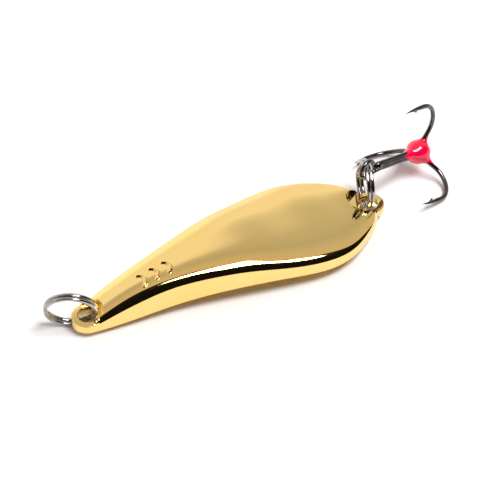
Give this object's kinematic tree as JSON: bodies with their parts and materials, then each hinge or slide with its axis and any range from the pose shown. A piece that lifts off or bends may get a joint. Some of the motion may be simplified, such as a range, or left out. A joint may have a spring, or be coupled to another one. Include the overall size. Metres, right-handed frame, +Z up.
{
  "type": "spoon lure",
  "caption": "Long cast spoon lure with a gold plated hollow-backed body, a split ring at each end and a treble hook with a resin bead.",
  "frame": {"origin": "on the surface the lure lies on, under the middle of the whole lure's box", "axes": "+X from the line end towards the treble hook, +Y across the body, +Z up"},
  "size_m": [0.07, 0.0208, 0.014],
  "materials": {
    "gold_plate": "mirror polished gold plating on cast brass",
    "bright_nickel": "bright nickel plated spring wire",
    "black_nickel": "black nickel plated hook wire",
    "braze": "black nickel over solder",
    "red_resin": "glossy hot red resin"
  },
  "bodies": {
    "spoon": {"spoon_body": "gold_plate"},
    "line_ring": {"line_split_ring": "bright_nickel"},
    "hook_ring": {"hook_split_ring": "bright_nickel"},
    "treble": {"double_hook": "black_nickel", "single_hook": "black_nickel", "braze_fill": "braze", "resin_bead": "red_resin"}
  },
  "joints": [
    {"name": "line_ring_swing", "type": "hinge", "parent": "spoon", "child": "line_ring", "pos_m": [-0.0307, 0.00017, 0.00163], "axis": [0.4925, 0.8197, 0.2924], "range_deg": [-160, 0]},
    {"name": "hook_ring_swing", "type": "hinge", "parent": "spoon", "child": "hook_ring", "pos_m": [0.02031, 0.00097, 0.00191], "axis": [0.9511, -0.309, 0], "range_deg": [-160, 0]},
    {"name": "treble_swing", "type": "hinge", "parent": "hook_ring", "child": "treble", "pos_m": [0.02015, 0.00046, 0.0079], "axis": [0.2998, 0.9228, 0.2419], "range_deg": [-140, 20]}
  ]
}
